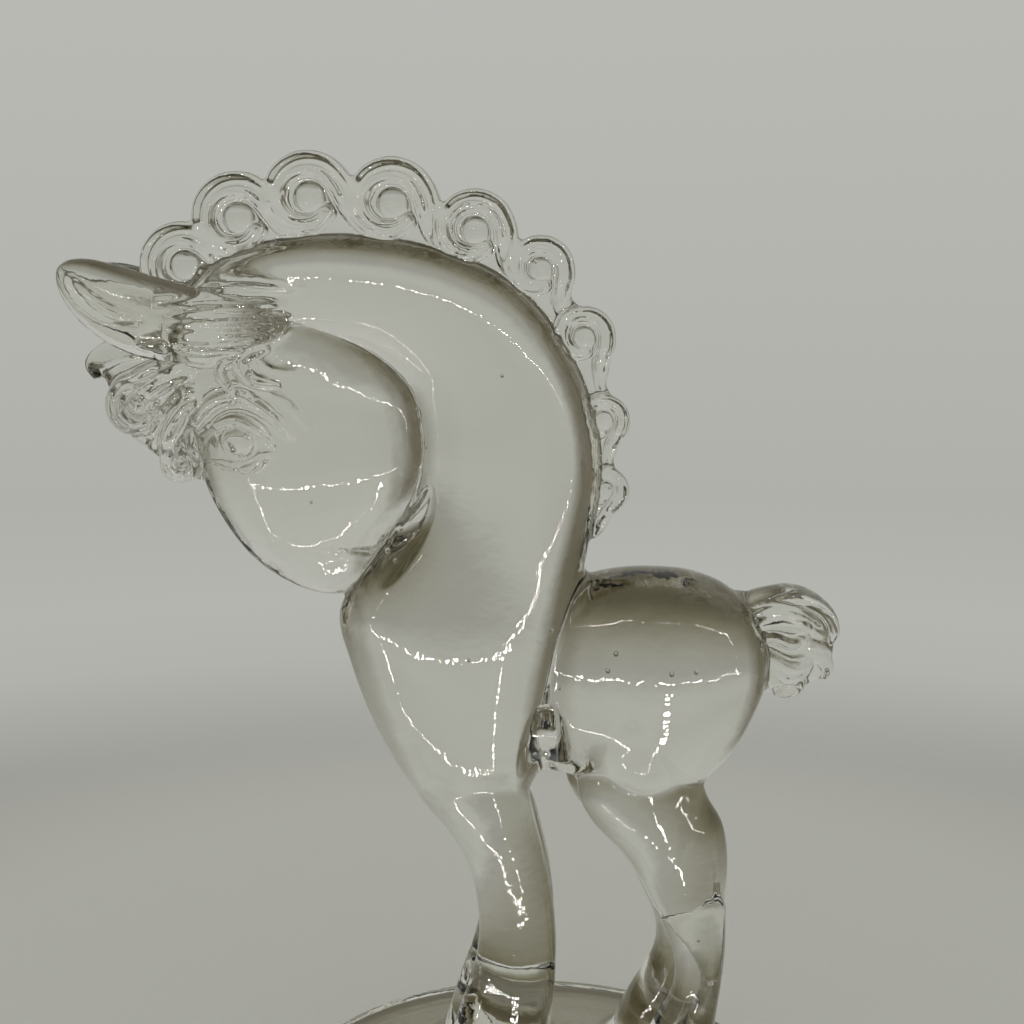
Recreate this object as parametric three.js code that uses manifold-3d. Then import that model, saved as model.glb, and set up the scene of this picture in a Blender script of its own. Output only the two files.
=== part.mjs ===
// A tall horse figurine of clear pressed glass, cast in one piece with its oval base.
// The horse stands side on, its head tucked to its chest, with a crest of nine scrolls along its arched neck,
// a curled forelock, ears laid forward and a short curled tail.
// Millimetres. X runs from the head (-X) to the tail (+X), Y across the body, Z up from the table.
import * as THREE from "three";
import { mergeVertices } from "three/addons/utils/BufferGeometryUtils.js";
import Module from "manifold-3d";

const wasm = await Module();
wasm.setup();

// Oval base
const baseHalfLength = 76;
const baseHalfWidth = 57.5;
const baseHeight = 15.5;
const baseFootRadius = 1.5;
const baseEdgeRadius = 5;
const baseDomeRise = 2;
const baseDomeShoulder = 0.55;
const baseSides = 36;

// Crest scrolls from the poll to the withers, each [centre X, centre Z, radius, lean, tail].
// Lean is the angle of the scroll's tail below +X, and the tail's length is counted in radii.
const crestScrolls = [
  [-100.9, 267.3, 12.7, 11, 1.52],
  [-84.9, 280.6, 13.3, 24, 1.74],
  [-64.4, 286.4, 13.3, 34, 1.84],
  [-40.6, 284.6, 13.3, 43, 1.6],
  [-17, 277, 12, 51, 1.6],
  [1.8, 266, 10, 65, 1.55],
  [14.6, 246.6, 9.2, 73, 1.75],
  [20.6, 222.4, 7.6, 88, 1.8],
  [21.4, 201.6, 6.8, 106, 2.2],
];
const scrollLargest = 13.3;
const scrollHalfThickness = 6.4;
const scrollThinnest = 0.62;
const scrollEye = { radius: 0.4, thickness: 0.95 };

// A scroll's tail is thinner than its crown, and only its first part is drawn out
const scrollTail = { thickness: 0.75, thinSweep: 50, drawnSweep: 30 };

// The web between the scrolls: how far its edge stands out from their centres, in radii,
// how far past the first one it starts, and how deep its root lies in the neck
const web = {
  thickness: 6,
  behindScroll: 0.62,
  betweenScrolls: 0.3,
  atEnds: 0.2,
  firstReach: 0.6,
  rootDepth: 6,
};

// The line of a scroll, in its own radii: [angle swept from the tail, reach from the centre, half width]
const scrollLine = [
  [1, 1.74, 0.05],
  [3, 1.5, 0.2],
  [9, 1.18, 0.27],
  [26, 0.86, 0.27],
  [58, 0.74, 0.27],
  [99, 0.73, 0.27],
  [139, 0.75, 0.26],
  [179, 0.78, 0.24],
  [219, 0.78, 0.22],
  [262, 0.68, 0.19],
  [310, 0.54, 0.16],
  [365, 0.47, 0.1],
];

// Leg pairs: how far each leg's centre stands from the middle plane, at the body and at the foot,
// and how far the far leg steps ahead of the near one
const frontLegs = { body: 7, foot: 14, step: 0 };
const hindLegs = { body: 6.5, foot: 14.5, step: 3 };

// Ribs cross a mass from its front edge to its back edge.
// Each is [front X, front Z, back X, back Z, half thickness across the body, middle Y].
const neckRibs = [
  [-21, 92, -3, 97, 9],
  [-30.5, 101.5, -2.5, 107, 17],
  [-41.5, 117, 2.5, 117.5, 21],
  [-50.3, 135, 5.5, 134.5, 23.5],
  [-55.8, 151, 9.5, 151, 24.5],
  [-58.8, 165, 13, 165, 23.5],
  [-52, 177, 14.8, 178, 22],
  [-42, 189, 17.4, 193, 20.5],
  [-37, 205, 19.2, 208, 19.2],
  [-36, 219, 17.3, 223, 18.2],
  [-39, 232, 8.5, 244, 17.5],
  [-50, 241, -7, 262, 16.8],
  [-66, 244, -32, 272.5, 16],
  [-84, 244, -62, 275.5, 14.5],
  [-99, 245, -89, 270, 11.5],
  [-106, 250, -102, 260, 6],
];

const headRibs = [
  [-103, 257, -84, 264, 8],
  [-107, 247, -62, 255, 14.5],
  [-104.5, 233, -43, 243, 18.5],
  [-99.5, 218, -31.5, 229, 20.5],
  [-97.3, 204, -29, 214, 20.5],
  [-91.9, 192.5, -32, 202, 18.8],
  [-85.4, 183.4, -38.5, 194, 16.2],
  [-78.6, 177.4, -44, 187, 13.6],
  [-70.2, 172.8, -47.6, 180, 11.4],
  [-63.5, 170.8, -50.8, 175.5, 8.6],
  [-59.5, 170.3, -54.5, 172, 4.5],
];

const barrelRibs = [
  [0, 166, -6, 117, 11],
  [13, 174.5, 5, 115, 18],
  [26, 177.6, 15.5, 113, 22.5],
  [37, 178, 25, 106.5, 23.8],
  [48, 176.8, 33.5, 105, 24],
  [58, 172.8, 42, 106.8, 23],
  [65.6, 165.2, 49.5, 111, 20.5],
  [70.2, 155, 56.8, 118, 16.5],
  [71, 145, 63.8, 128.5, 8],
];

const frontLegRibs = [
  [-34, 146, -10, 148, 5],
  [-36, 128, -6, 130, 10.5],
  [-33, 111, -1.8, 112, 12.2],
  [-27, 100.5, 1, 100, 11.8],
  [-21, 90.5, 3.5, 90, 10.8],
  [-18, 80, 5.5, 80, 10],
  [-16.8, 70, 6.8, 69, 9.4],
  [-17.4, 60, 7.1, 60, 9.2],
  [-20, 50, 6.8, 51, 9.4],
  [-23.2, 41, 6, 42, 10],
  [-25.6, 33, 5.2, 34, 10.8],
  [-28.5, 23, 4.6, 24, 11.6],
  [-31, 9, 4.6, 9, 12.4],
];

const hindLegRibs = [
  [26, 138, 44, 142, 5],
  [18, 125, 47.5, 130, 9],
  [13, 111.5, 50, 119, 11.3],
  [17.6, 101, 52.8, 109, 12.3],
  [25.6, 93, 57.5, 101, 12],
  [30.5, 86.5, 59.2, 90, 11.2],
  [34.7, 78.4, 58.8, 80, 10.4],
  [39.7, 68.1, 58.9, 69, 9.5],
  [43, 59, 58.7, 59, 8.8],
  [43, 49.5, 57.6, 49, 8.8],
  [39.5, 41, 56.4, 41, 9.4],
  [35, 33, 55.4, 33, 10.4],
  [31, 24, 55, 24, 11.4],
  [28.5, 9, 55.5, 9, 12.4],
];

// The near ear, laid forward along the temple. The far ear is its mirror image.
const earRibs = [
  [-72, 244, -70, 252, 2.5, -13],
  [-84, 239.5, -80, 256, 4.8, -14.5],
  [-97, 239.5, -92, 260, 5.6, -16.5],
  [-111, 241.5, -106, 264, 5.8, -17],
  [-122, 246.5, -117, 267.2, 5.4, -16],
  [-130.5, 254, -126, 269, 4.6, -14.5],
  [-134.5, 261, -131.5, 268.5, 3, -13],
  [-135, 265, -134, 267, 1.2, -12.5],
];

// Locks of hair, and the ear's hollow, run along paths of [X, Z, Y] points.
// Those beside the middle plane have a mirror image beyond it.
const earHollow = {
  path: [[-130, 262.5, -19], [-127, 259.5, -21], [-122.5, 256.5, -22.5], [-116, 255, -23.5]],
  radius: 4.2,
};

const forelockRibs = [
  [-122, 248, -100, 252, 6],
  [-127, 243, -99, 245, 8.5],
  [-126, 234, -97, 236, 9.2],
  [-123, 226, -95, 228, 9],
  [-120.5, 219, -94, 221, 8],
  [-114, 213.5, -93.5, 214, 7],
  [-106, 207.5, -93.5, 208.5, 5.5],
  [-100, 204.6, -93.5, 205.2, 3],
];
const forelockScrolls = [
  [-115, 227.6, 9.2, -35, 1.9],
  [-103.2, 211, 6.2, -110, 1.8],
];
const forelockHalfThickness = 10.5;
const forelockLocks = [
  {
    path: [[-104, 245, -8], [-115, 244.5, -7], [-124, 242, -5], [-129, 239, -3], [-128, 235, -2]],
    radius: 4.4,
  },
  { path: [[-90, 238, -12], [-102, 236, -12], [-111, 231, -9.5], [-115, 226.5, -9]], radius: 2.8 },
  { path: [[-89, 231, -12], [-99, 228.5, -12.5], [-106, 221, -9.5], [-109, 215, -7]], radius: 2.8 },
];

// Fine ridges of hair swept back from the ear over the temple, spread evenly between the upper and lower ones
const templeHair = {
  count: 3,
  upper: [[-112, 250, -20], [-95, 248, -19.5], [-77, 252, -17.5], [-66, 254, -15]],
  lower: [[-104, 244.5, -20], [-95, 240.6, -19.5], [-77, 242.8, -17.5], [-69, 243.4, -17]],
  radius: 1.9,
};

const tailRibs = [
  [60, 171, 62, 148, 9],
  [67, 170.5, 67.5, 147, 7.5],
  [74, 171, 73, 142, 6.5],
  [82, 168, 80, 140.5, 6],
  [88, 162.5, 87.5, 143.5, 4.5],
  [91, 157.5, 90.5, 147, 2.5],
];
const tailCrown = {
  path: [[62, 167], [70, 169], [78, 169.6], [84.5, 167.6], [89.6, 163.2], [91.2, 158], [89.4, 154.4]],
  radius: 3.2,
  flat: 2.2,
};
const tailLocks = [
  { path: [[62, 161, -7], [71, 163.5, -6.5], [80, 161.5, -5.5], [87, 157.5, -3.5]], radius: 3 },
  { path: [[63, 156, -7], [71, 151, -6], [78.5, 148, -5], [84.5, 151, -4], [86, 156, -3.5]], radius: 2.5 },
  {
    path: [[64, 151, -6], [70, 145.5, -5], [75.5, 140.6, -4], [80.5, 141.5, -3.5], [81, 146, -4]],
    radius: 3,
  },
  { path: [[80, 155, -4], [86, 152, -3.5], [89.4, 147.5, -2.5], [88.6, 143.4, -1.5]], radius: 2.8 },
];

const eye = { at: [-84, -18.6, 217.5], size: [4.8, 2.6, 4.2] };
const brow = {
  path: [[-94, 220, -17], [-87.5, 225.5, -19], [-79, 224, -20], [-73, 218, -20.5]],
  radius: 1.8,
};
const nostril = { at: [-56.5, -13.2, 185.5], size: [3.4, 3.4, 2.2] };

// Where the chest meets the belly, a pocket is pressed into each flank above the gap between the legs
const flankPocket = { at: [2.6, -19, 121.5], size: [7, 14, 12.5] };

const clearGlass = new THREE.MeshStandardMaterial({
  name: "clear_glass",
  color: 0xdcdcd2,
  roughness: 0.04,
  metalness: 0,
});

// A curve through values picked from each station, read at t from 0 to 1
function through(stations, pick) {
  return new THREE.CatmullRomCurve3(
    stations.map((station) => new THREE.Vector3(...pick(station))),
    false,
    "centripetal",
  );
}

// A closed mass whose sections run through the ribs. Square is the section's exponent, and 2 is an ellipse.
function lofted(ribs, { rings, sides, square = 2 }) {
  const front = through(ribs, (r) => [r[0], 0, r[1]]);
  const back = through(ribs, (r) => [r[2], 0, r[3]]);
  const across = through(ribs, (r) => [r[4], r[5] ?? 0, 0]);
  const shape = new THREE.CylinderGeometry(1, 1, 1, sides, rings);
  const place = shape.attributes.position;
  const eased = (v) => Math.sign(v) * Math.abs(v) ** (2 / square);
  const corner = new THREE.Vector3();
  for (let i = 0; i < place.count; i++) {
    corner.fromBufferAttribute(place, i);
    const t = THREE.MathUtils.clamp(0.5 - corner.y, 0, 1);
    const f = front.getPoint(t);
    const b = back.getPoint(t);
    const w = across.getPoint(t);
    const along = (1 + eased(corner.x)) / 2;
    place.setXYZ(
      i,
      THREE.MathUtils.lerp(f.x, b.x, along),
      w.y + w.x * eased(corner.z),
      THREE.MathUtils.lerp(f.z, b.z, along),
    );
  }
  return shape;
}

// Ribs square to a line of stations, each [X, Z, Y, half width, half thickness]
function ribsAlong(stations, steps) {
  const line = through(stations, ([x, z, y]) => [x, y, z]);
  const girth = through(stations, ([, , , half, thick]) => [half, thick, 0]);
  return Array.from({ length: steps + 1 }, (_, i) => {
    const at = line.getPoint(i / steps);
    const run = line.getTangent(i / steps);
    const { x: half, y: thick } = girth.getPoint(i / steps);
    const side = new THREE.Vector2(-run.z, run.x).setLength(half);
    return [at.x + side.x, at.z + side.y, at.x - side.x, at.z - side.y, thick, at.y];
  });
}

// A closed three.js geometry as a solid, turned the right way out
function solidOf(shape) {
  const bare = shape.clone();
  bare.deleteAttribute("normal");
  bare.deleteAttribute("uv");
  const merged = mergeVertices(bare, 1e-4);
  const triVerts = new Uint32Array(merged.index.array);
  const vertProperties = new Float32Array(merged.attributes.position.array);
  const made = new wasm.Manifold(new wasm.Mesh({ numProp: 3, vertProperties, triVerts }));
  if (made.volume() > 0) return made;
  const turned = triVerts.map((_, i) => triVerts[i - (i % 3) + (2 - (i % 3))]);
  return new wasm.Manifold(new wasm.Mesh({ numProp: 3, vertProperties, triVerts: turned }));
}

const mass = (ribs, detail) => solidOf(lofted(ribs, detail));
const ball = (at, size) => solidOf(new THREE.SphereGeometry(1, 8, 4).scale(...size).translate(...at));
const pair = (solid) => [solid, solid.mirror([0, 1, 0])];

// A lock of hair, thickest a third of the way along its path and drawn to a point.
// Its root and its tip are shares of the full radius.
const lockRoot = 0.7;
const lockTip = 0.3;
function lock({ path, radius, flat = 1 }) {
  const stations = path.map(([x, z, y = 0], i) => {
    const t = i / (path.length - 1);
    const swell = THREE.MathUtils.lerp(lockRoot, 1, Math.min(1, t * 3));
    const taper = THREE.MathUtils.lerp(1, lockTip, Math.max(0, (t * 3 - 1) / 2));
    return [x, z, y, radius * swell * taper, radius * flat * Math.sqrt(swell * taper)];
  });
  const rings = path.length;
  return mass(ribsAlong(stations, rings), { rings, sides: 4 });
}

// A scroll like a breaking wave. Its lock leaves the crest behind it, climbs over its top towards the head,
// comes down in front and winds in to a round eye.
function scroll([x, z, radius, lean, tail], halfThickness) {
  const stations = scrollLine.map(([sweep, reach, half]) => {
    const angle = THREE.MathUtils.degToRad(sweep - lean);
    const drawn = (tail - scrollLine[0][1]) * Math.max(0, 1 - sweep / scrollTail.drawnSweep);
    const out = radius * (reach + drawn);
    const crown = THREE.MathUtils.smoothstep(sweep, 0, scrollTail.thinSweep);
    const thick = halfThickness * THREE.MathUtils.lerp(scrollTail.thickness, 1, crown);
    return [x + out * Math.cos(angle), z + out * Math.sin(angle), 0, radius * half, thick];
  });
  const eyeSize = [radius * scrollEye.radius, halfThickness * scrollEye.thickness, radius * scrollEye.radius];
  return [mass(ribsAlong(stations, 22), { rings: 11, sides: 6 }), ball([x, 0, z], eyeSize)];
}

// Both legs of a pair, each moved across the body by a spread that grows from the body to the foot
function legPair(ribs, { body, foot, step }) {
  return [-1, 1].map((side) => {
    const moved = ribs.map(([frontX, frontZ, backX, backZ, thick], i) => {
      const ahead = side > 0 ? step : 0;
      const aside = side * THREE.MathUtils.lerp(body, foot, i / (ribs.length - 1));
      return [frontX - ahead, frontZ, backX - ahead, backZ, thick, aside];
    });
    return mass(moved, { rings: ribs.length - 1, sides: 10, square: 2.2 });
  });
}

function base() {
  const profile = new THREE.Path();
  const edgeTop = baseHeight - baseDomeRise;
  profile.moveTo(0, 0);
  profile.lineTo(1 - baseFootRadius / baseHalfLength, 0);
  profile.lineTo(1, baseFootRadius);
  profile.lineTo(1, edgeTop - baseEdgeRadius);
  profile.quadraticCurveTo(1, edgeTop, 1 - baseEdgeRadius / baseHalfLength, edgeTop);
  profile.quadraticCurveTo(baseDomeShoulder, baseHeight, 0, baseHeight);
  const turned = new THREE.LatheGeometry(profile.getPoints(2), baseSides);
  turned.rotateX(Math.PI / 2);
  turned.scale(baseHalfLength, baseHalfWidth, 1);
  return solidOf(turned);
}

// A flat web of glass stands on the crest of the neck and closes the scrolls' middles.
// Its edge rises behind each scroll and dips between two of them.
function crestWeb() {
  const crest = through(neckRibs, (r) => [r[2], r[3], 0]).getPoints(200);
  const [firstX, firstZ, firstRadius] = crestScrolls[0];
  const [lastX, lastZ, lastRadius] = crestScrolls[crestScrolls.length - 1];
  const edge = crestScrolls.flatMap(([x, z, radius], i) => {
    const next = crestScrolls[i + 1];
    const here = { x, z, rise: radius * web.behindScroll };
    const between = next && { x: (x + next[0]) / 2, z: (z + next[1]) / 2, rise: radius * web.betweenScrolls };
    return between ? [here, between] : [here];
  });
  edge.unshift({ x: firstX - firstRadius * web.firstReach, z: firstZ, rise: firstRadius * web.atEnds });
  edge.push({ x: lastX, z: lastZ - lastRadius, rise: lastRadius * web.atEnds });
  const across = edge.map(({ x, z, rise }) => {
    const centre = new THREE.Vector3(x, z, 0);
    const root = crest.reduce((a, b) => (a.distanceTo(centre) < b.distanceTo(centre) ? a : b));
    const out = centre.clone().sub(root);
    const inner = out.clone().setLength(-web.rootDepth).add(root);
    return { outer: out.clone().setLength(rise).add(centre), inner };
  });
  const rootLine = across.filter((_, i) => i % 3 === 0).map(({ inner }) => inner);
  const outline = new THREE.Shape([...across.map(({ outer }) => outer), ...rootLine.reverse()]);
  const slab = new THREE.ExtrudeGeometry(outline, { depth: web.thickness, bevelEnabled: false });
  return solidOf(slab.rotateX(Math.PI / 2).translate(0, web.thickness / 2, 0));
}

function templeRidges() {
  return Array.from({ length: templeHair.count }, (_, i) => {
    const share = i / (templeHair.count - 1);
    const path = templeHair.upper.map((point, j) =>
      point.map((value, k) => THREE.MathUtils.lerp(value, templeHair.lower[j][k], share)),
    );
    return lock({ path, radius: templeHair.radius });
  });
}

const ears = mass(earRibs, { rings: 8, sides: 8 }).subtract(lock(earHollow));
const solids = [
  base(),
  mass(neckRibs, { rings: 19, sides: 16, square: 2.1 }),
  mass(headRibs, { rings: 12, sides: 14, square: 2.5 }),
  mass(barrelRibs, { rings: 11, sides: 14, square: 2.3 }),
  ...legPair(frontLegRibs, frontLegs),
  ...legPair(hindLegRibs, hindLegs),
  crestWeb(),
  ...crestScrolls.flatMap((line) => {
    const share = THREE.MathUtils.lerp(scrollThinnest, 1, line[2] / scrollLargest);
    return scroll(line, scrollHalfThickness * share);
  }),
  ...pair(ears),
  ...templeRidges().flatMap(pair),
  mass(forelockRibs, { rings: 6, sides: 8 }),
  ...forelockScrolls.flatMap((line) => scroll(line, forelockHalfThickness)),
  ...forelockLocks.map(lock).flatMap(pair),
  mass(tailRibs, { rings: 6, sides: 8 }),
  lock(tailCrown),
  ...tailLocks.map(lock).flatMap(pair),
  ...pair(ball(eye.at, eye.size)),
  ...pair(lock(brow)),
];
const pressedIn = [nostril, flankPocket].flatMap(({ at, size }) => pair(ball(at, size)));
const whole = wasm.Manifold.union(solids).subtract(wasm.Manifold.union(pressedIn));

function meshOf(solid, name) {
  const made = solid.getMesh();
  const shape = new THREE.BufferGeometry();
  shape.setAttribute("position", new THREE.BufferAttribute(made.vertProperties, 3));
  shape.setIndex(new THREE.BufferAttribute(made.triVerts, 1));
  shape.computeVertexNormals();
  const mesh = new THREE.Mesh(shape, clearGlass);
  mesh.name = name;
  return mesh;
}

const figurine = new THREE.Group();
figurine.add(meshOf(whole, "glass_horse"));

export default figurine;
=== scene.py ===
# The looks of a clear pressed-glass horse figurine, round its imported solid.
# Sizes in the dictionaries are millimetres in the solid's own frame:
# X runs from the head (-X) to the tail (+X), Y across the body, Z up from the table.
import math

import bmesh
import bpy
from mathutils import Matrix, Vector


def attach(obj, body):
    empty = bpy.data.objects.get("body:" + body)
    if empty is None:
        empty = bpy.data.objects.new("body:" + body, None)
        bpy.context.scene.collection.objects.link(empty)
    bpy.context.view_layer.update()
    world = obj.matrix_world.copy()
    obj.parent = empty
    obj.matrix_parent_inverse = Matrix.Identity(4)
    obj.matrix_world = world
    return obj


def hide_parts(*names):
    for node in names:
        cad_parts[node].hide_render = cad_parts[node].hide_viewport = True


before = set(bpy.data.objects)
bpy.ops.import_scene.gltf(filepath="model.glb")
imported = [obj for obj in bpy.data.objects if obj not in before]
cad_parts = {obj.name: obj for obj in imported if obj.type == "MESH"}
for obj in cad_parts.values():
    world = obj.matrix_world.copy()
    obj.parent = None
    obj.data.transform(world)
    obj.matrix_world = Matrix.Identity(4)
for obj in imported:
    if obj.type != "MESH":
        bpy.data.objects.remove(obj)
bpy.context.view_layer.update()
mm = 0.001


# Small helpers

def linearColour(code):
    channels = [int(code[i:i + 2], 16) / 255 for i in (1, 3, 5)]
    return tuple(c / 12.92 if c < 0.0405 else ((c + 0.055) / 1.055) ** 2.4 for c in channels) + (1,)


def addNode(tree, kind, settings=None, values=None, links=None):
    node = tree.nodes.new(kind)
    for key, value in (settings or {}).items():
        setattr(node, key, value)
    for key, value in (values or {}).items():
        node.inputs[key].default_value = value
    for key, source in (links or {}).items():
        tree.links.new(source, node.inputs[key])
    return node


def deselectAll():
    bpy.ops.object.select_all(action="DESELECT")


def pick(*pieces):
    deselectAll()
    for piece in pieces:
        piece.select_set(True)
    bpy.context.view_layer.objects.active = pieces[0]


def joined(name, pieces):
    pick(*pieces)
    bpy.ops.object.join()
    made = bpy.context.object
    made.name = name
    made.data.name = name
    return made


def applied(piece, kind, **settings):
    pick(piece)
    bpy.ops.object.modifier_add(type=kind)
    modifier = piece.modifiers[-1]
    for key, value in settings.items():
        setattr(modifier, key, value)
    bpy.ops.object.modifier_apply(modifier=modifier.name)
    return piece


def splineAt(points, t):
    # a centripetal spline through the points, with t from 0 at the first to 1 at the last
    last = len(points) - 1
    place = min(max(t, 0), 1) * last
    i = min(int(place), last - 1)
    u = place - i
    p1, p2 = points[i], points[i + 1]
    p0 = points[i - 1] if i > 0 else 2 * p1 - p2
    p3 = points[i + 2] if i + 2 <= last else 2 * p2 - p1
    d0, d1, d2 = [max((b - a).length ** 0.5, 1e-4) for a, b in ((p0, p1), (p1, p2), (p2, p3))]
    leave = (p1 - p0) / d0 - (p2 - p0) / (d0 + d1) + (p2 - p1) / d1
    reach = (p2 - p1) / d1 - (p3 - p1) / (d1 + d2) + (p3 - p2) / d2
    leave, reach = leave * d1, reach * d1
    return p1 + leave * u + (3 * (p2 - p1) - 2 * leave - reach) * u ** 2 + (2 * (p1 - p2) + leave + reach) * u ** 3


def denseRibs(ribs, each):
    # more ribs between those given, on splines through their front ends, back ends and thicknesses
    fronts = [Vector((r[0], r[1])) for r in ribs]
    backs = [Vector((r[2], r[3])) for r in ribs]
    across = [Vector((r[4], r[5] if len(r) > 5 else 0)) for r in ribs]
    count = (len(ribs) - 1) * each
    made = []
    for i in range(count + 1):
        front, back, girth = (splineAt(line, i / count) for line in (fronts, backs, across))
        made.append((front.x, front.y, back.x, back.y, girth.x, girth.y))
    return made


def ribsAlong(stations, steps):
    # ribs square to a line of stations, each (X, Z, Y, half width, half thickness)
    places = [Vector((x, z, y)) for x, z, y, half, thick in stations]
    girths = [Vector((half, thick)) for x, z, y, half, thick in stations]
    made = []
    for i in range(steps + 1):
        t = i / steps
        at = splineAt(places, t)
        run = splineAt(places, min(t + 0.004, 1)) - splineAt(places, max(t - 0.004, 0))
        girth = splineAt(girths, t)
        side = Vector((-run.y, run.x)).normalized() * girth.x
        made.append((at.x + side.x, at.y + side.y, at.x - side.x, at.y - side.y, girth.y, at.z))
    return made


def ringOf(rib):
    frontX, frontZ, backX, backZ, thick, middleY = rib
    centre = Vector(((frontX + backX) / 2, middleY, (frontZ + backZ) / 2)) * mm
    half = max(math.hypot(backX - frontX, backZ - frontZ) / 2, 0.05) * mm
    return centre, half, max(thick, 0.05) * mm, math.atan2(backZ - frontZ, backX - frontX)


def moveRing(before, after):
    # with no window transform.rotate turns the other way, so these angles run from +X up to +Z
    centre, half, thick, angle = before
    nextCentre, nextHalf, nextThick, nextAngle = after
    bpy.ops.transform.rotate(value=-angle, orient_axis="Y", center_override=centre)
    bpy.ops.transform.resize(value=(nextHalf / half, nextThick / thick, 1), center_override=centre)
    bpy.ops.transform.rotate(value=nextAngle, orient_axis="Y", center_override=centre)
    bpy.ops.transform.translate(value=nextCentre - centre)


def squareRing(piece, sides, square):
    # pushes the ring's shoulders out, from an ellipse towards a rounded box
    for step in range(1, sides // 4):
        angle = 2 * math.pi * step / sides
        reach = (math.cos(angle) ** square + math.sin(angle) ** square) ** (-1 / square)
        mesh = bmesh.from_edit_mesh(piece.data)
        for corner in mesh.verts:
            corner.select = abs(math.atan2(abs(corner.co.y), abs(corner.co.x)) - angle) < 0.01
        mesh.select_flush_mode()
        bmesh.update_edit_mesh(piece.data)
        bpy.ops.transform.resize(value=(reach, reach, 1), center_override=(0, 0, 0))
    bpy.ops.mesh.select_all(action="SELECT")


def bevelRing(piece, bevel):
    # cuts the ring's back shoulders to a straight slope, from (reach, thickness) down to the thickness at the back
    reach, thick, last = bevel
    mesh = bmesh.from_edit_mesh(piece.data)
    places = sorted({round(corner.co.x, 5) for corner in mesh.verts if reach < corner.co.x < 0.9999})
    for place in places:
        mesh = bmesh.from_edit_mesh(piece.data)
        for corner in mesh.verts:
            corner.select = abs(corner.co.x - place) < 0.0001
        depth = max(corner.co.y for corner in mesh.verts if corner.select)
        mesh.select_flush_mode()
        bmesh.update_edit_mesh(piece.data)
        slope = thick + (last - thick) * (place - reach) / (1 - reach)
        bpy.ops.transform.resize(value=(1, slope / depth, 1), center_override=(0, 0, 0))
    bpy.ops.mesh.select_all(action="SELECT")


def loft(name, ribs, sides=24, square=2, bevel=None):
    # a ring is extruded from rib to rib, turned and resized to each
    rings = [ringOf(rib) for rib in ribs]
    deselectAll()
    bpy.ops.mesh.primitive_circle_add(vertices=sides, radius=1, fill_type="NGON", location=(0, 0, 0))
    piece = bpy.context.object
    piece.name = name
    bpy.ops.object.mode_set(mode="EDIT")
    if square > 2:
        squareRing(piece, sides, square)
    if bevel:
        bevelRing(piece, bevel)
    moveRing((Vector(), 1, 1, 0), rings[0])
    for before, after in zip(rings, rings[1:]):
        bpy.ops.mesh.extrude_region_move(TRANSFORM_OT_translate={"value": (0, 0, 0)})
        moveRing(before, after)
    bpy.ops.mesh.select_all(action="SELECT")
    bpy.ops.mesh.normals_make_consistent(inside=False)
    bpy.ops.object.mode_set(mode="OBJECT")
    return piece


def lock(path, radius, flat=1, root=0.7, tip=0.3, each=4, sides=12):
    # a lock of hair along a path of (X, Z, Y) points, thickest a third of the way and drawn to a point
    stations = []
    for i, (x, z, y) in enumerate(path):
        t = i / (len(path) - 1)
        swell = root + (1 - root) * min(1, t * 3)
        taper = 1 - (1 - tip) * max(0, (t * 3 - 1) / 2)
        stations.append((x, z, y, radius * swell * taper, radius * flat * math.sqrt(swell * taper)))
    return loft("lock", ribsAlong(stations, (len(path) - 1) * each), sides)


def ball(at, size, segments=32, rings=16):
    deselectAll()
    x, y, z = at
    bpy.ops.mesh.primitive_uv_sphere_add(segments=segments, ring_count=rings, radius=1)
    bpy.ops.object.mode_set(mode="EDIT")
    bpy.ops.transform.resize(value=Vector(size) * mm, center_override=(0, 0, 0))
    bpy.ops.transform.translate(value=Vector((x, y, z)) * mm)
    bpy.ops.object.mode_set(mode="OBJECT")
    return bpy.context.object


def mirroredCopy(piece):
    pick(piece)
    bpy.ops.object.duplicate()
    copy = bpy.context.object
    bpy.ops.object.mode_set(mode="EDIT")
    bpy.ops.mesh.select_all(action="SELECT")
    bpy.ops.transform.resize(value=(1, -1, 1), center_override=(0, 0, 0))
    bpy.ops.mesh.normals_make_consistent(inside=False)
    bpy.ops.object.mode_set(mode="OBJECT")
    return copy


def carve(piece, cutter):
    applied(piece, "BOOLEAN", operation="DIFFERENCE", object=cutter, solver="EXACT")
    bpy.data.objects.remove(cutter)
    return piece


# Oval base: a bottom ring is extruded up the rounded rim and in over the low dome

base = {
    "halfLength": 76,
    "halfWidth": 57.5,
    "sides": 128,
    # [in from the rim, height]
    "profile": [(1.5, 0), (0.4, 0.4), (0, 1.5), (0, 8.5), (0.25, 10.4), (1, 12), (2.2, 13), (4, 13.5),
                (12, 14.2), (24, 14.9), (38, 15.3), (50, 15.45)],
}


def addBase():
    deselectAll()
    bpy.ops.mesh.primitive_circle_add(vertices=base["sides"], radius=1, fill_type="NGON", location=(0, 0, 0))
    piece = bpy.context.object
    bpy.ops.object.mode_set(mode="EDIT")
    sizeX, sizeY, height = 1, 1, 0
    for step, (inset, rise) in enumerate(base["profile"]):
        if step:
            bpy.ops.mesh.extrude_region_move(TRANSFORM_OT_translate={"value": (0, 0, 0)})
        nextX, nextY = (base["halfLength"] - inset) * mm, (base["halfWidth"] - inset) * mm
        bpy.ops.transform.resize(value=(nextX / sizeX, nextY / sizeY, 1), center_override=(0, 0, 0))
        bpy.ops.transform.translate(value=(0, 0, (rise - height) * mm))
        sizeX, sizeY, height = nextX, nextY, rise
    bpy.ops.mesh.select_all(action="SELECT")
    bpy.ops.mesh.normals_make_consistent(inside=False)
    bpy.ops.object.mode_set(mode="OBJECT")
    return piece


# Body masses. A rib is [front X, front Z, back X, back Z, half thickness across the body, middle Y].

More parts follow.
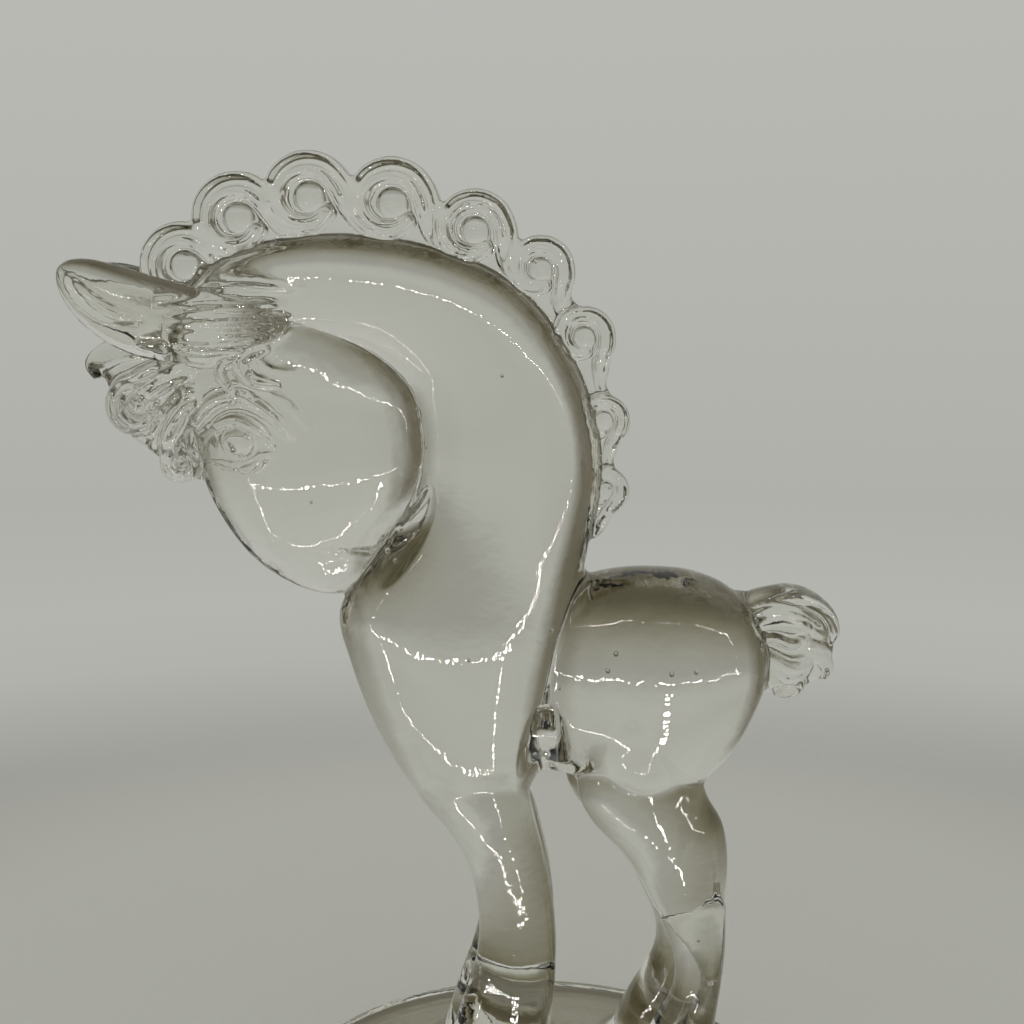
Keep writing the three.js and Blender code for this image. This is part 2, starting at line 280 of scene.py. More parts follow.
body = {
    "neck": [
        (-21, 92, -3, 97, 9), (-30.5, 101.5, -2.5, 107, 17), (-41.5, 117, 2.5, 117.5, 21),
        (-50.3, 135, 5.5, 134.5, 23.5), (-55.8, 151, 9.5, 151, 24.5), (-58.8, 165, 13, 165, 23.5),
        (-52, 177, 14.8, 178, 22), (-42, 189, 17.4, 193, 20.5), (-37, 205, 19.2, 208, 19.2),
        (-36, 219, 17.3, 223, 18.2), (-39, 232, 8.5, 244, 17.5), (-50, 241, -7, 262, 16.8),
        (-66, 244, -32, 272.5, 16), (-84, 244, -62, 275.5, 14.5), (-99, 245, -89, 270, 11.5),
        (-106, 250, -102, 260, 6),
    ],
    "neckSquare": 2.5,
    # the shoulder under the crest: where it starts, its thickness there and at the back edge, as shares
    "neckBevel": (0.78, 0.735, 0.3),
    "head": [
        (-103, 257, -84, 264, 8), (-107, 247, -62, 255, 14.5), (-104.5, 233, -43, 243, 18.5),
        (-99.5, 218, -31.5, 229, 20.5), (-97.3, 204, -29, 214, 20.5), (-91.9, 192.5, -32, 202, 18.8),
        (-85.4, 183.4, -38.5, 194, 16.2), (-78.6, 177.4, -44, 187, 13.6), (-70.2, 172.8, -47.6, 180, 11.4),
        (-63.5, 170.8, -50.8, 175.5, 8.6), (-59.5, 170.3, -54.5, 172, 4.5),
    ],
    "headSquare": 2.5,
    "barrel": [
        (0, 166, -6, 117, 11), (13, 174.5, 5, 115, 18), (26, 177.6, 15.5, 113, 22.5),
        (37, 178, 25, 106.5, 23.8), (48, 176.8, 33.5, 105, 24), (58, 172.8, 42, 106.8, 23),
        (65.6, 165.2, 49.5, 111, 20.5), (70.2, 155, 56.8, 118, 16.5), (71, 145, 63.8, 128.5, 8),
    ],
    "barrelSquare": 2.3,
    "frontLeg": [
        (-34, 146, -10, 148, 5), (-36, 128, -6, 130, 10.5), (-33, 111, -1.8, 112, 12.2),
        (-27, 100.5, 1, 100, 11.8), (-21, 90.5, 3.5, 90, 10.8), (-18, 80, 5.5, 80, 10),
        (-16.8, 70, 6.8, 69, 9.4), (-17.4, 60, 7.1, 60, 9), (-20, 50, 6.8, 51, 8.9),
        (-23.2, 41, 6, 42, 9.7), (-25.6, 33, 5.2, 34, 10.9), (-28.3, 24, 4.7, 24.5, 12.3),
        (-30.2, 18.5, 5.4, 18.5, 13.8),
        (-33.5, 15.2, 8.4, 15.2, 15.5), (-37, 13, 12, 13, 19),
    ],
    "frontSpread": (7, 14),
    "hindLeg": [
        (26, 138, 44, 142, 5), (18, 125, 47.5, 130, 9), (13, 111.5, 50, 119, 11.3), (17.6, 101, 52.8, 109, 12.3),
        (25.6, 93, 57.5, 101, 12), (30.5, 86.5, 59.2, 90, 11.2), (34.7, 78.4, 58.8, 80, 10.4),
        (39.7, 68.1, 58.9, 69, 9.5), (43, 59, 58.7, 59, 8.6), (43, 49.5, 57.6, 49, 8.5), (39.5, 41, 56.4, 41, 9.3),
        (35, 33, 55.4, 33, 10.5), (31.2, 24.5, 55, 24.5, 12), (29, 18.5, 55.8, 18.5, 13.6),
        (25.8, 15.2, 58.6, 15.2, 15.2), (22, 13, 62, 13, 18.5),
    ],
    "hindSpread": (6.5, 14.5),
    "hindStep": 3,
    "legSquare": 2.2,
    # the thigh, and the rounded top of the gap between the two fore legs
    "thigh": {"at": (33, -11.5, 124), "size": (14.5, 11.5, 14.5)},
    "gapTop": {"at": (-5, 0, 67), "size": (11.5, 5, 15)},
    # scoops pressed into both sides, [Z, left X, right X, Y of the floor] from the top down: above the gap between
    # fore and hind legs, and behind the jaw
    "scoops": [
        [(139.5, 1, 5.5, -8), (136, -1.6, 8.2, -4.6), (129, -4, 10, -7), (122, -5.2, 11.2, -11.8),
         (113, -6, 13, -18.5)],
        [(207, -30, -29, -17), (200, -34.5, -28.5, -9), (193, -40, -30, -6), (187, -45, -33, -7.6),
         (181, -48.5, -37, -11.6), (175, -51, -42, -17)],
    ],
    "scoopDepth": 13,
    "scoopSquare": 4,
    "voxel": 1.3,
    "soften": 5,
}


def addLeg(ribs, spread, side, ahead):
    near, far = spread
    moved = []
    for i, (frontX, frontZ, backX, backZ, thick) in enumerate(ribs):
        aside = side * (near + (far - near) * min(1, i / (len(ribs) - 3)))
        moved.append((frontX - ahead, frontZ, backX - ahead, backZ, thick, aside))
    return loft("leg", denseRibs(moved, 3), 28, body["legSquare"])


def addScoop(levels):
    deep = body["scoopDepth"]
    # the tool reaches from its floor out past the skin
    ribs = [(left, z, right, z, deep, floor - deep) for z, left, right, floor in levels]
    return loft("scoop", denseRibs(ribs, 3), 28, body["scoopSquare"])


def addBody():
    pieces = [
        addBase(),
        loft("neck", denseRibs(body["neck"], 5), 48, body["neckSquare"], body["neckBevel"]),
        loft("barrel", denseRibs(body["barrel"], 5), 48, body["barrelSquare"]),
    ]
    for side in (-1, 1):
        pieces.append(addLeg(body["frontLeg"], body["frontSpread"], side, 0))
        pieces.append(addLeg(body["hindLeg"], body["hindSpread"], side, body["hindStep"] if side > 0 else 0))
    thigh = ball(body["thigh"]["at"], body["thigh"]["size"])
    pieces += [thigh, mirroredCopy(thigh)]
    pieces.append(ball(body["gapTop"]["at"], body["gapTop"]["size"]))
    made = joined("body", pieces)
    applied(made, "REMESH", mode="VOXEL", voxel_size=body["voxel"] * mm)
    applied(made, "SMOOTH", factor=0.5, iterations=body["soften"])
    for levels in body["scoops"]:
        scoop = addScoop(levels)
        carve(made, mirroredCopy(scoop))
        carve(made, scoop)
    return made


# Face. Carved lines are locks with a small radius that are cut into the head.

face = {
    "eye": {"at": (-84, -18.4, 217.5), "size": (4.6, 2.6, 4)},
    "lids": [
        {"path": [(-94, 217, -17.5), (-90.5, 222, -18.7), (-84.5, 224, -19.7),
                  (-78.5, 221.5, -20), (-73.5, 217, -20)],
         "radius": 1.5},
        {"path": [(-92.5, 213, -18.2), (-88, 210.5, -19.5), (-82, 210.3, -20), (-76.5, 213, -20)], "radius": 0.9},
        {"path": [(-97, 222.5, -15.5), (-92, 228.5, -17.5), (-84, 230.5, -18.8),
                  (-75, 226, -19.7), (-68, 219.5, -20.3)],
         "radius": 1.7},
    ],
    "cuts": [
        {"path": [(-79.5, 216.5, -21.5), (-82, 219.3, -22), (-86, 219.2, -22), (-88.5, 216.5, -21.5)], "radius": 0.7},
        {"path": [(-50.5, 177.5, -13), (-55.5, 175.6, -13.2), (-60.5, 176.4, -13.4), (-64.5, 179.5, -14.4)],
         "radius": 0.8},
        {"path": [(-43.5, 197.6, -19), (-41, 199.6, -19.2), (-38, 202, -18.8), (-36, 203.8, -18)],
         "radius": 1.8},
    ],
    "nostril": {"at": (-57, -17, 185.5), "size": (3.6, 3.6, 2.6)},
}


def addHead():
    head = loft("head", denseRibs(body["head"], 5), 48, body["headSquare"])
    details = [ball(face["eye"]["at"], face["eye"]["size"])]
    details += [lock(line["path"], line["radius"], root=0.4) for line in face["lids"]]
    near = joined("faceNear", details)
    far = mirroredCopy(near)
    for cut in face["cuts"]:
        cutter = lock(cut["path"], cut["radius"], root=0.4)
        carve(head, mirroredCopy(cutter))
        carve(head, cutter)
    nostril = ball(face["nostril"]["at"], face["nostril"]["size"])
    carve(head, mirroredCopy(nostril))
    carve(head, nostril)
    return [head, near, far]


# Ears, with the hollow that opens near the tip

ear = {
    "ribs": [
        (-72, 244, -70, 252, 2.5, -13), (-84, 239.5, -80, 256, 4.8, -14.5), (-97, 239.5, -92, 260, 5.6, -16.5),
        (-111, 241.5, -106, 264, 5.8, -17), (-122, 246.5, -117, 267.2, 5.4, -16),
        (-130.5, 254, -126, 269, 4.6, -14.5), (-134.5, 261, -131.5, 268.5, 3, -13),
        (-135, 265, -134, 267, 1.2, -12.5),
    ],
    "hollow": {"path": [(-131, 263.5, -20.5), (-128, 260, -22), (-123.5, 256, -23),
                        (-116, 253, -24.5), (-108, 252, -26)],
               "radius": 5},
}


def addEar():
    piece = loft("ear", denseRibs(ear["ribs"], 5), 32)
    return carve(piece, lock(ear["hollow"]["path"], ear["hollow"]["radius"], root=0.5, tip=0.6))


# Crest scrolls, each [centre X, centre Z, radius, lean, tail] as in the solid

crest = {
    "scrolls": [
        (-100.9, 267.3, 12.7, 11, 1.52), (-84.9, 280.6, 13.3, 24, 1.74), (-64.4, 286.4, 13.3, 34, 1.84),
        (-40.6, 284.6, 13.3, 43, 1.6), (-17, 277, 12, 51, 1.6), (1.8, 266, 10, 65, 1.55),
        (14.6, 246.6, 9.2, 73, 1.75), (20.6, 222.4, 7.6, 88, 1.8), (21.4, 201.6, 6.8, 106, 2.2),
    ],
    "largest": 13.3,
    "thickness": 6.4,
    # [angle swept from the tail, reach from the centre, half width], in radii
    "line": [
        (1, 1.74, 0.05), (3, 1.5, 0.2), (9, 1.18, 0.27), (26, 0.86, 0.27), (58, 0.74, 0.27), (99, 0.73, 0.27),
        (139, 0.75, 0.26), (179, 0.78, 0.24), (219, 0.78, 0.22), (262, 0.68, 0.19), (310, 0.54, 0.16),
        (365, 0.47, 0.1),
    ],
    # [shift of the band's middle, its share of the ribbon's width, its share of the thickness].
    # Two raised rims stand on a core, so that a channel runs along the ribbon.
    "bands": [(0, 0.98, 0.84), (0.66, 0.34, 1), (-0.66, 0.34, 1)],
    "bandSquare": 4.5,
    # the sunken floor between eye and ribbon, as shares of the radius and of the thickness
    "floor": (0.8, 0.74),
    "eye": (0.39, 1.12),
    "steps": 44,
    # the tail is drawn out over the first sweep, and thickens from its start over the second, both in degrees
    "tailDrawn": 30,
    "tailThickens": 50,
    "tailStart": 0.75,
    "thinnest": 0.62,
    # the web behind the ribbons: how far it reaches, in radii, and how deep it is rooted in the neck
    "webThickness": 3,
    "webSquare": 5,
    "webBehindScroll": 0.62,
    "webBetween": 0.3,
    "webAtEnds": 0.2,
    "webFirstReach": 0.6,
    "webRoot": 6,
}


def addScroll(x, z, radius, lean, tail, thickness):
    pieces = []
    for reach, depth in (crest["eye"], crest["floor"]):
        pieces.append(ball((x, 0, z), (radius * reach, thickness * depth, radius * reach)))
    tailReach = crest["line"][0][1]
    start = crest["tailStart"]
    for shift, share, depth in crest["bands"]:
        stations = []
        for sweep, reach, half in crest["line"]:
            angle = math.radians(sweep - lean)
            drawn = (tail - tailReach) * max(0, 1 - sweep / crest["tailDrawn"])
            out = radius * (reach + drawn + half * shift)
            ease = min(sweep / crest["tailThickens"], 1)
            full = start + (1 - start) * ease * ease * (3 - 2 * ease)
            place = (x + out * math.cos(angle), z + out * math.sin(angle), 0)
            stations.append((*place, radius * half * share, thickness * full * depth))
        pieces.append(loft("band", ribsAlong(stations, crest["steps"]), 24, crest["bandSquare"]))
    return pieces


def addCrest():
    pieces = []
    for x, z, radius, lean, tail in crest["scrolls"]:
        share = crest["thinnest"] + (1 - crest["thinnest"]) * radius / crest["largest"]
        thickness = crest["thickness"] * share
        pieces += addScroll(x, z, radius, lean, tail, thickness)
    backs = [Vector((r[2], r[3])) for r in body["neck"]]
    line = [splineAt(backs, i / 200) for i in range(201)]
    edge = []
    for i, (x, z, radius, lean, tail) in enumerate(crest["scrolls"]):
        edge.append((Vector((x, z)), radius * crest["webBehindScroll"]))
        if i + 1 < len(crest["scrolls"]):
            nextX, nextZ = crest["scrolls"][i + 1][:2]
            edge.append((Vector(((x + nextX) / 2, (z + nextZ) / 2)), radius * crest["webBetween"]))
    x, z, radius = crest["scrolls"][0][:3]
    edge.insert(0, (Vector((x - radius * crest["webFirstReach"], z)), radius * crest["webAtEnds"]))
    x, z, radius = crest["scrolls"][-1][:3]
    edge.append((Vector((x, z - radius)), radius * crest["webAtEnds"]))
    ribs = []
    for place, rise in edge:
        root = min(line, key=lambda p: (p - place).length)
        out = (place - root).normalized()
        outer, inner = place + out * rise, root - out * crest["webRoot"]
        ribs.append((inner.x, inner.y, outer.x, outer.y, crest["webThickness"]))
    pieces.append(loft("web", denseRibs(ribs, 3), 24, crest["webSquare"]))
    return pieces


# Forelock and the hair swept back over the temple

hair = {
    "knot": [
        (-122, 248, -100, 252, 6), (-127, 243, -99, 245, 8.5), (-126, 234, -97, 236, 9.2), (-123, 226, -95, 228, 9),
        (-120.5, 219, -94, 221, 8), (-114, 213.5, -93.5, 214, 7), (-106, 207.5, -93.5, 208.5, 5.5),
        (-100, 204.6, -93.5, 205.2, 3),
    ],
    "scrolls": [(-115, 227.6, 9.2, -35, 1.9), (-103.2, 211, 6.2, -110, 1.8)],
    "scrollThickness": 10.5,
    "locks": [
        {"path": [(-104, 245, -8), (-115, 244.5, -7), (-124, 242, -5), (-129, 239, -3), (-128, 235, -2)],
         "radius": 4.4},
        {"path": [(-90, 238, -12), (-102, 236, -12), (-111, 231, -9.5), (-115, 226.5, -9)], "radius": 2.6},
        {"path": [(-89, 231, -12), (-99, 228.5, -12.5), (-106, 221, -9.5), (-109, 215, -7)], "radius": 2.6},
        {"path": [(-92, 243, -14), (-103, 241, -12), (-113, 237, -10), (-121, 231, -8), (-123.5, 225, -7)],
         "radius": 1.6},
        {"path": [(-92, 240, -14), (-103, 237.8, -12.6), (-112, 233, -11), (-119, 226.5, -9)], "radius": 1.3},
        {"path": [(-90, 234.5, -14), (-100, 232, -13.2), (-108, 225.5, -11), (-113, 218, -9)], "radius": 1.4},
        {"path": [(-89, 228, -15), (-96, 225, -13.5), (-101.5, 218, -10), (-103.5, 211, -8)], "radius": 1.5},
        {"path": [(-76, 240, -15), (-83, 241, -17.5), (-88.5, 238, -18), (-86, 233, -18.5), (-79, 231, -19)],
         "radius": 1.5},
        {"path": [(-70, 243, -15), (-77, 243.5, -17), (-83, 240, -18.3), (-80, 235, -19), (-72, 233.5, -19.2)],
         "radius": 1.3},
    ],
    # ridges fan out between an upper and a lower line
    "streaks": {
        "upper": [(-108, 258), (-100, 259), (-91, 260.5), (-82, 261), (-72, 260.5), (-58, 259)],
        "lower": [(-105, 246), (-99, 244), (-93, 243), (-87, 243.2), (-80, 243.8), (-71, 244.6)],
        # how far each station of a ridge lies under the skin
        "sunk": [1, 0, -0.2, -0.2, 0.1, 1.4],
        "shares": [0, 0.26, 0.46, 0.63, 0.8, 1],
        "radius": 1.3,
        "root": 0.5,
        "tip": 0.12,
    },
}


def addForelock():
    pieces = [loft("knot", denseRibs(hair["knot"], 4), 28)]
    for x, z, radius, lean, tail in hair["scrolls"]:
        pieces += addScroll(x, z, radius, lean, tail, hair["scrollThickness"])
    return pieces


def skinAt(skins, x, z):
    # Y of the near side of the glass at (X, Z)
    depths = [0]
    for skin in skins:
        hit, place, normal, index = skin.ray_cast(Vector((x, -80, z)) * mm, Vector((0, 1, 0)))
        if hit:
            depths.append(place.y / mm)
    return min(depths)


def addStreaks(skins):
    streaks = hair["streaks"]
    pieces = []
    for share in streaks["shares"]:
        path = []
        for above, below, sunk in zip(streaks["upper"], streaks["lower"], streaks["sunk"]):
            x, z = Vector(above).lerp(Vector(below), share)
            path.append((x, z, skinAt(skins, x, z) + sunk))
        pieces.append(lock(path, streaks["radius"], root=streaks["root"], tip=streaks["tip"], each=5, sides=10))
    return pieces


# Tail: a short curl of locks

tail = {
    "mass": [
        (60, 171, 62, 148, 9), (67, 170.5, 67.5, 147, 7.5), (74, 171, 73, 142, 6.5), (82, 168, 80, 140.5, 6),
        (88, 162.5, 87.5, 143.5, 4.5), (91, 157.5, 90.5, 147, 2.5),
    ],
    "crown": {"path": [(62, 167, 0), (70, 169, 0), (78, 169.6, 0), (84.5, 167.6, 0), (89.6, 163.2, 0), (91.2, 158, 0),
                       (89.4, 154.4, 0)], "radius": 3.2, "flat": 2.2},
    "locks": [
        {"path": [(62, 161, -7), (71, 163.5, -6.5), (80, 161.5, -5.5), (87, 157.5, -3.5)], "radius": 3},
        {"path": [(63, 156, -7), (71, 151, -6), (78.5, 148, -5), (84.5, 151, -4), (86, 156, -3.5)], "radius": 2.5},
        {"path": [(64, 151, -6), (70, 145.5, -5), (75.5, 140.6, -4), (80.5, 141.5, -3.5), (81, 146, -4)],
         "radius": 3},
        {"path": [(80, 155, -4), (86, 152, -3.5), (89.4, 147.5, -2.5), (88.6, 143.4, -1.5)], "radius": 2.8},
        {"path": [(64, 164.5, -7.5), (72, 166.5, -7), (80, 165, -6), (86.5, 161, -4.5)], "radius": 1.4},
        {"path": [(64, 158.5, -8), (72, 157.5, -7.2), (78, 155.5, -6.6), (81.5, 158, -6), (79, 160.5, -6)],
         "radius": 1.5},
        {"path": [(64, 153.5, -7.5), (71, 148.5, -6.6), (77, 144.5, -5.6), (82, 146.5, -5), (84, 150, -4.8)],
         "radius": 1.3},
    ],
}


def addTail():
    crown = tail["crown"]
    return [loft("tail", denseRibs(tail["mass"], 4), 28), lock(crown["path"], crown["radius"], crown["flat"])]


# The whole casting: hair, head and body become one skin, then the sealed bubbles are added

casting = {
    "voxel": 0.75,
    "soften": 3,
    "triangles": 190000,
    # a bubble's size along X, Y and Z, in radii: drawn up a little by the rising glass
    "bubbleShape": (1, 0.85, 1.15),
}
bubbles = [
    # [X, Y, Z, radius]
    (23.5, -20, 156.5, 0.75), (21.3, -20, 151.5, 0.7), (39.5, -21, 150.8, 0.75), (5, -19, 163, 0.6),
    (0, -15, 268, 0.5), (-42, -21, 187, 0.8), (-40, -20, 184, 0.6), (12, 6, 140, 0.5), (-20, 4, 150, 0.45),
    (-30, -6, 215, 0.4), (48, 5, 145, 0.5), (-10, 9, 235, 0.5), (-66, 2, 200, 0.45), (-6, -12, 60, 0.4),
    (50, -14, 66, 0.45), (30, 20, 7, 0.7), (-40, -22, 6, 0.6), (-20, 30, 8, 0.5),
]


def addCasting():
    nearLocks = [lock(line["path"], line["radius"], root=0.5) for line in hair["locks"]]
    nearLocks += [lock(line["path"], line["radius"]) for line in tail["locks"]]
    skin = addBody()
    head = addHead()
    earPiece = addEar()
    near = joined("hairNear", [*addStreaks([skin, head[0], earPiece]), earPiece, *nearLocks])
    print("hair strands modelled")
    pieces = [skin, *head, *addCrest(), *addForelock(), *addTail(), near, mirroredCopy(near)]
    print("body, head, crest and tail modelled")
    made = joined("glassHorse", pieces)
    applied(made, "REMESH", mode="VOXEL", voxel_size=casting["voxel"] * mm)
    print("joined into one skin:", len(made.data.polygons), "faces")
    applied(made, "SMOOTH", factor=0.5, iterations=casting["soften"])
    made.data.calc_loop_triangles()
    share = casting["triangles"] / len(made.data.loop_triangles)
    if share < 1:
        applied(made, "DECIMATE", ratio=share)
    return made


def addBubbles():
    made = []
    for x, y, z, radius in bubbles:
        made.append(ball((x, y, z), [radius * share for share in casting["bubbleShape"]], 16, 8))
    voids = joined("bubbles", made)
    bpy.ops.object.mode_set(mode="EDIT")
    bpy.ops.mesh.select_all(action="SELECT")
    bpy.ops.mesh.flip_normals()  # the air is outside the glass, so a bubble's faces point into it
    bpy.ops.object.mode_set(mode="OBJECT")
    return voids


# Pressed soda-lime glass, fire polished. Its IOR is 1.51 and the polish leaves it almost mirror smooth,
# with a faint waviness from the mould. The melt has a slight warm grey cast that deepens with thickness.

glass = {
    "tint": "#F7F7F3",
    "ior": 1.51,
    "roughness": 0.006,
    "smearRoughness": 0.03,
    "castColour": "#D8D2B4",
    "castDensity": 3.0,
    "waveSize": 11,
    "waveHeight": 0.13,
    "ripple": 2.4,
    "rippleShare": 0.35,
    "smearScale": 35,
    "smearFrom": 0.55,
    "smearFull": 0.8,
}


def pressedGlass():
    material = bpy.data.materials.new("pressedSodaLimeGlass")
    material.use_nodes = True
    tree = material.node_tree
    shader = tree.nodes["Principled BSDF"]
    output = tree.nodes["Material Output"]
    shader.inputs["Base Color"].default_value = linearColour(glass["tint"])
    shader.inputs["Transmission Weight"].default_value = 1
    shader.inputs["IOR"].default_value = glass["ior"]
    where = addNode(tree, "ShaderNodeTexCoord").outputs["Object"]
    wave = addNode(tree, "ShaderNodeTexNoise", {"noise_dimensions": "3D"},
                   {"Scale": 1 / (glass["waveSize"] * mm), "Detail": 1.5, "Roughness": 0.4}, {"Vector": where})
    ripple = addNode(tree, "ShaderNodeTexNoise", {"noise_dimensions": "3D"},
                     {"Scale": 1 / (glass["ripple"] * mm), "Detail": 1, "Roughness": 0.4}, {"Vector": where})
    height = addNode(tree, "ShaderNodeMath", {"operation": "MULTIPLY_ADD"}, {1: glass["rippleShare"]},
                     {0: ripple.outputs["Fac"], 2: wave.outputs["Fac"]})
    bump = addNode(tree, "ShaderNodeBump", None, {"Strength": 1, "Distance": glass["waveHeight"] * mm},
                   {"Height": height.outputs["Value"]})
    tree.links.new(bump.outputs["Normal"], shader.inputs["Normal"])
    smear = addNode(tree, "ShaderNodeTexNoise", None, {"Scale": glass["smearScale"], "Detail": 3}, {"Vector": where})
    rough = addNode(tree, "ShaderNodeMapRange", None,
                    {"From Min": glass["smearFrom"], "From Max": glass["smearFull"],
                     "To Min": glass["roughness"], "To Max": glass["smearRoughness"]},
                    {"Value": smear.outputs["Fac"]})
    tree.links.new(rough.outputs["Result"], shader.inputs["Roughness"])
    cast = addNode(tree, "ShaderNodeVolumeAbsorption", None,
                   {"Color": linearColour(glass["castColour"]), "Density": glass["castDensity"]})
    tree.links.new(cast.outputs["Volume"], output.inputs["Volume"])
    return material


clearGlass = pressedGlass()
horse = addCasting()
horse = joined("glassHorse", [horse, addBubbles()])
horse.data.materials.clear()
horse.data.materials.append(clearGlass)
pick(horse)
bpy.ops.object.shade_smooth()
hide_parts("glass_horse")
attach(horse, "root")
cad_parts["glass_horse"].data.materials.clear()
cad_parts["glass_horse"].data.materials.append(clearGlass)
print("glass horse finished:", len(horse.data.polygons), "faces")


# Studio: a pale board that fades into a pale tent. Its floor and far sides are painted shade, dark and warm, which
# shows only through the glass, where it looks steeply down or aside. Rows of small lamps in front show only in
# reflections.

studio = {
    "boardColour": "#DEDED9",
    "boardFade": (0.25, 0.45),
    "boardRadius": 1,
    "boardDrop": 0.4,
    "grainScale": 900,
    "grain": 0.03,
    # [height of the direction from -1 to 1, colour]. The dark warm tones below about -0.4 are painted shade
    # that shows only through the glass.
    "surroundWithPaintedShade": [(-1, "#564F3C"), (-0.9, "#504A36"), (-0.8, "#4A4530"), (-0.72, "#4D4833"), (-0.64, "#605B47"),
                 (-0.56, "#74715F"), (-0.48, "#878679"), (-0.4, "#98988E"), (-0.335, "#9D9D98"), (-0.3, "#A6A7A1"),
                 (-0.265, "#B1B2AC"), (-0.225, "#B4B5AF"), (-0.14, "#AFB0AA"), (-0.05, "#B2B3AD"), (0.12, "#B6B7B1"),
                 (0.3, "#BABBB6"), (1, "#C8C8C5")],
    # the painted side shade: its colour, then [sideways part of the direction, how far it is darkened by it]
    "paintedSideShadeColour": "#5A5440",
    "sides": [(-1, 0.95), (-0.62, 0.85), (-0.5, 0.45), (-0.4, 0), (0.4, 0), (0.55, 0.3), (0.8, 0.5), (1, 0.6)],
    # the painted side shade fades out between these heights of the direction
    "paintedSideShadeTop": (0.1, 0.4),
    "foldShift": 0.012,
}


def ramp(tree, source, marks, low, high):
    # a colour ramp whose marks are given in the source's own units
    share = addNode(tree, "ShaderNodeMapRange", None, {"From Min": low, "From Max": high}, {"Value": source})
    made = addNode(tree, "ShaderNodeValToRGB", None, None, {0: share.outputs["Result"]})
    for i, (place, colour) in enumerate(marks):
        position = (place - low) / (high - low)
        mark = made.color_ramp.elements[i] if i < 2 else made.color_ramp.elements.new(position)
        mark.position = position
        mark.color = colour
    return made


def addBoard():
    deselectAll()
    bpy.ops.mesh.primitive_circle_add(vertices=96, radius=studio["boardRadius"], fill_type="NGON",
                                      location=(0, 0, -studio["boardDrop"] * mm))
    board = bpy.context.object
    board.name = "paleBoard"
    material = bpy.data.materials.new("matPaleBoard")
    material.use_nodes = True
    tree = material.node_tree
    shader = tree.nodes["Principled BSDF"]
    shader.inputs["Roughness"].default_value = 0.9
    where = addNode(tree, "ShaderNodeTexCoord").outputs["Object"]
    grain = addNode(tree, "ShaderNodeTexNoise", None, {"Scale": studio["grainScale"], "Detail": 2}, {"Vector": where})
    tone = addNode(tree, "ShaderNodeMapRange", None, {"To Min": 1 - studio["grain"], "To Max": 1 + studio["grain"]},
                   {"Value": grain.outputs["Fac"]})
    colour = addNode(tree, "ShaderNodeMix", {"data_type": "RGBA", "blend_type": "MULTIPLY"},
                     {0: 1, 6: linearColour(studio["boardColour"])}, {7: tone.outputs["Result"]})
    tree.links.new(colour.outputs[2], shader.inputs["Base Color"])
    away = addNode(tree, "ShaderNodeVectorMath", {"operation": "LENGTH"}, None, {0: where})
    near, far = studio["boardFade"]
    fade = addNode(tree, "ShaderNodeMapRange", {"interpolation_type": "SMOOTHSTEP"},
                   {"From Min": near, "From Max": far}, {"Value": away.outputs["Value"]})
    clear = addNode(tree, "ShaderNodeBsdfTransparent")
    mixed = addNode(tree, "ShaderNodeMixShader", None, None,
                    {0: fade.outputs["Result"], 1: shader.outputs["BSDF"], 2: clear.outputs["BSDF"]})
    tree.links.new(mixed.outputs["Shader"], tree.nodes["Material Output"].inputs["Surface"])
    board.data.materials.append(material)
    # painted shade: the glass looks past the board into the dark tent below
    board.visible_transmission = False


def addTentWithPaintedShade():
    world = bpy.data.worlds.new("paleTentWithPaintedShade")
    bpy.context.scene.world = world
    world.use_nodes = True
    tree = world.node_tree
    direction = addNode(tree, "ShaderNodeTexCoord").outputs["Generated"]
    parts = addNode(tree, "ShaderNodeSeparateXYZ", None, None, {0: direction})
    # faint level folds of the cloth
    folds = addNode(tree, "ShaderNodeMapping", None, {"Scale": (0.6, 0.6, 9)}, {"Vector": direction})
    cloth = addNode(tree, "ShaderNodeTexNoise", None, {"Scale": 1.6, "Detail": 2},
                    {"Vector": folds.outputs["Vector"]})
    shift = addNode(tree, "ShaderNodeMath", {"operation": "MULTIPLY_ADD"},
                    {1: studio["foldShift"] * 2, 2: -studio["foldShift"]}, {0: cloth.outputs["Fac"]})
    height = addNode(tree, "ShaderNodeMath", {"operation": "ADD"}, None,
                     {0: parts.outputs["Z"], 1: shift.outputs["Value"]})
    # painted shade: the ramp darkens to warm brown for directions that look steeply down
    marks = [(place, linearColour(code)) for place, code in studio["surroundWithPaintedShade"]]
    tonesWithPaintedShade = ramp(tree, height.outputs["Value"], marks, -1, 1)
    # painted shade: low directions off to either side are darkened towards the side colour
    shade = [(place, (share, share, share, 1)) for place, share in studio["sides"]]
    aside = ramp(tree, parts.outputs["X"], shade, -1, 1)
    low, high = studio["paintedSideShadeTop"]
    under = addNode(tree, "ShaderNodeMapRange", {"interpolation_type": "SMOOTHSTEP"},
                    {"From Min": low, "From Max": high, "To Min": 1, "To Max": 0}, {"Value": parts.outputs["Z"]})
    share = addNode(tree, "ShaderNodeMath", {"operation": "MULTIPLY"}, None,
                    {0: aside.outputs["Color"], 1: under.outputs["Result"]})
    withPaintedSideShade = addNode(tree, "ShaderNodeMix", {"data_type": "RGBA"}, {7: linearColour(studio["paintedSideShadeColour"])},
                    {0: share.outputs["Value"], 6: tonesWithPaintedShade.outputs["Color"]})
    tree.links.new(withPaintedSideShade.outputs[2], tree.nodes["Background"].inputs["Color"])


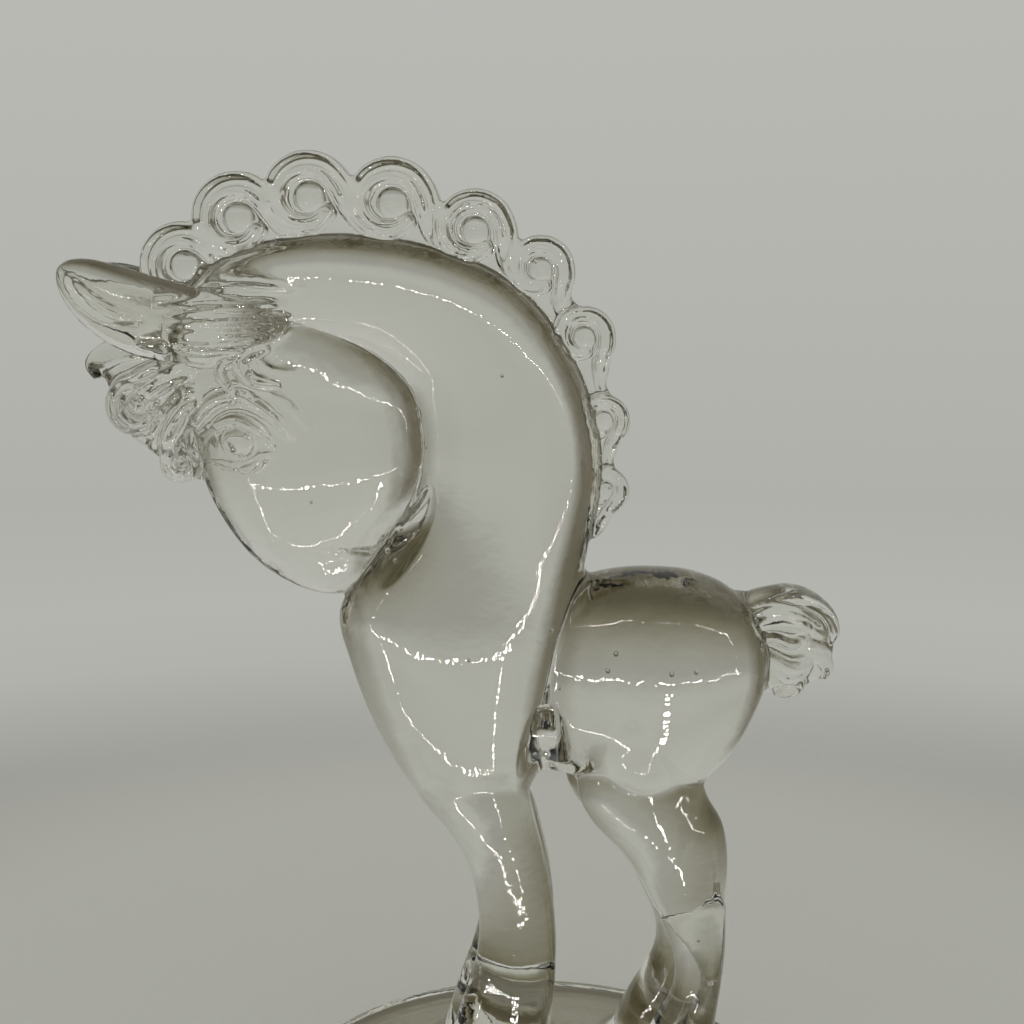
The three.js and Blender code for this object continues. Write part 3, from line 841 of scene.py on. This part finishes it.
def glow(name, code, strength):
    material = bpy.data.materials.new(name)
    material.use_nodes = True
    tree = material.node_tree
    tree.nodes.remove(tree.nodes["Principled BSDF"])
    light = addNode(tree, "ShaderNodeEmission", None, {"Color": linearColour(code), "Strength": strength})
    tree.links.new(light.outputs["Emission"], tree.nodes["Material Output"].inputs["Surface"])
    return material


def seenInReflections(piece):
    piece.visible_camera = False
    piece.visible_diffuse = False
    piece.visible_shadow = False
    piece.visible_volume_scatter = False
    piece.visible_transmission = False


litRows = {
    # [distance, Z, left X, right X] of the level rows, and [distance, X, low Z, high Z] of the upright ones
    "level": [(230, 345, -400, 400), (230, 122, -400, 400), (165, 8, -199, 54)],
    "upright": [(230, -400, 122, 345), (230, 400, 122, 345), (165, -199, 8, 124), (165, 54, 8, 124)],
    "lamp": "#FFFDF6",
    "lampStrength": 80,
    "lampSize": 4,
    "lampGap": 12,
}


def spread(low, high, gap):
    count = round((high - low) / gap)
    return [low + (high - low) * i / count for i in range(count + 1)]


def addLitRows():
    gap = litRows["lampGap"]
    spots = [(x, -away, z) for away, z, left, right in litRows["level"] for x in spread(left, right, gap)]
    spots += [(x, -away, z) for away, x, low, high in litRows["upright"] for z in spread(low, high, gap)[1:-1]]
    lamps = []
    for spot in spots:
        deselectAll()
        bpy.ops.mesh.primitive_plane_add(size=litRows["lampSize"] * mm, rotation=(math.pi / 2, 0, 0),
                                         location=Vector(spot) * mm)
        lamps.append(bpy.context.object)
    row = joined("lampRows", lamps)
    row.data.materials.append(glow("whiteLamp", litRows["lamp"], litRows["lampStrength"]))
    seenInReflections(row)


def addCamera():
    data = bpy.data.cameras.new("camera")
    data.sensor_width = 36
    data.lens = 18 / math.tan(math.radians(22))
    camera = bpy.data.objects.new("camera", data)
    camera.location = (-0.0066077, -0.3755, 0.2543)
    camera.rotation_euler = (math.radians(81), 0, 0)
    bpy.context.scene.collection.objects.link(camera)
    bpy.context.scene.camera = camera


addBoard()
addTentWithPaintedShade()
addLitRows()
addCamera()
bpy.context.scene.view_settings.view_transform = "Standard"
print("studio ready")
